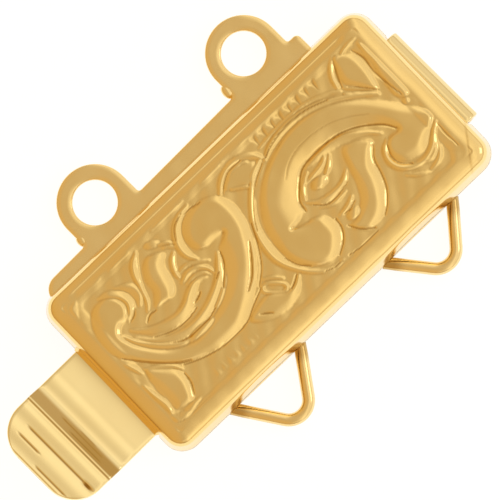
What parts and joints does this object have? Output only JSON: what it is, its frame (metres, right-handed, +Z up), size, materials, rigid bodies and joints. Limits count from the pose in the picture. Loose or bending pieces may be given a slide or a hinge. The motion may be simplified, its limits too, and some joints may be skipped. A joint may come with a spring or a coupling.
{
  "type": "two-strand box clasp",
  "caption": "Rectangular two-strand box clasp: stamped box with scroll ornament, wire loops on one side, and a sliding spring tongue whose plate carries the rings.",
  "frame": {"origin": "centre of the flat underside of the box", "axes": "+X along the box away from the thumb tab, +Y toward the two rings, +Z up through the ornamented face"},
  "size_m": [0.0257, 0.0157, 0.0027],
  "materials": {
    "cover": "polished pale gold plate with darker hollows",
    "loop_tray": "polished pale gold plate",
    "ring_plate": "satin gold plate with burnished ring edges",
    "spring_leaf": "polished pale gold plate"
  },
  "bodies": {
    "box": {"cover": "cover", "loop_tray": "loop_tray"},
    "tongue": {"ring_plate": "ring_plate"},
    "leaf": {"spring_leaf": "spring_leaf"}
  },
  "joints": [
    {"name": "tongue_slide", "type": "slide", "parent": "box", "child": "tongue", "axis": [-0.9997, -0.0227, 0], "range_m": [0, 0.021]},
    {"name": "leaf_press", "type": "hinge", "parent": "tongue", "child": "leaf", "pos_m": [0.00991, -0.00008, 0.00091], "axis": [0.0227, -0.9997, 0], "range_deg": [0, 1.25], "stiffness_Nm_per_rad": 0.37}
  ]
}
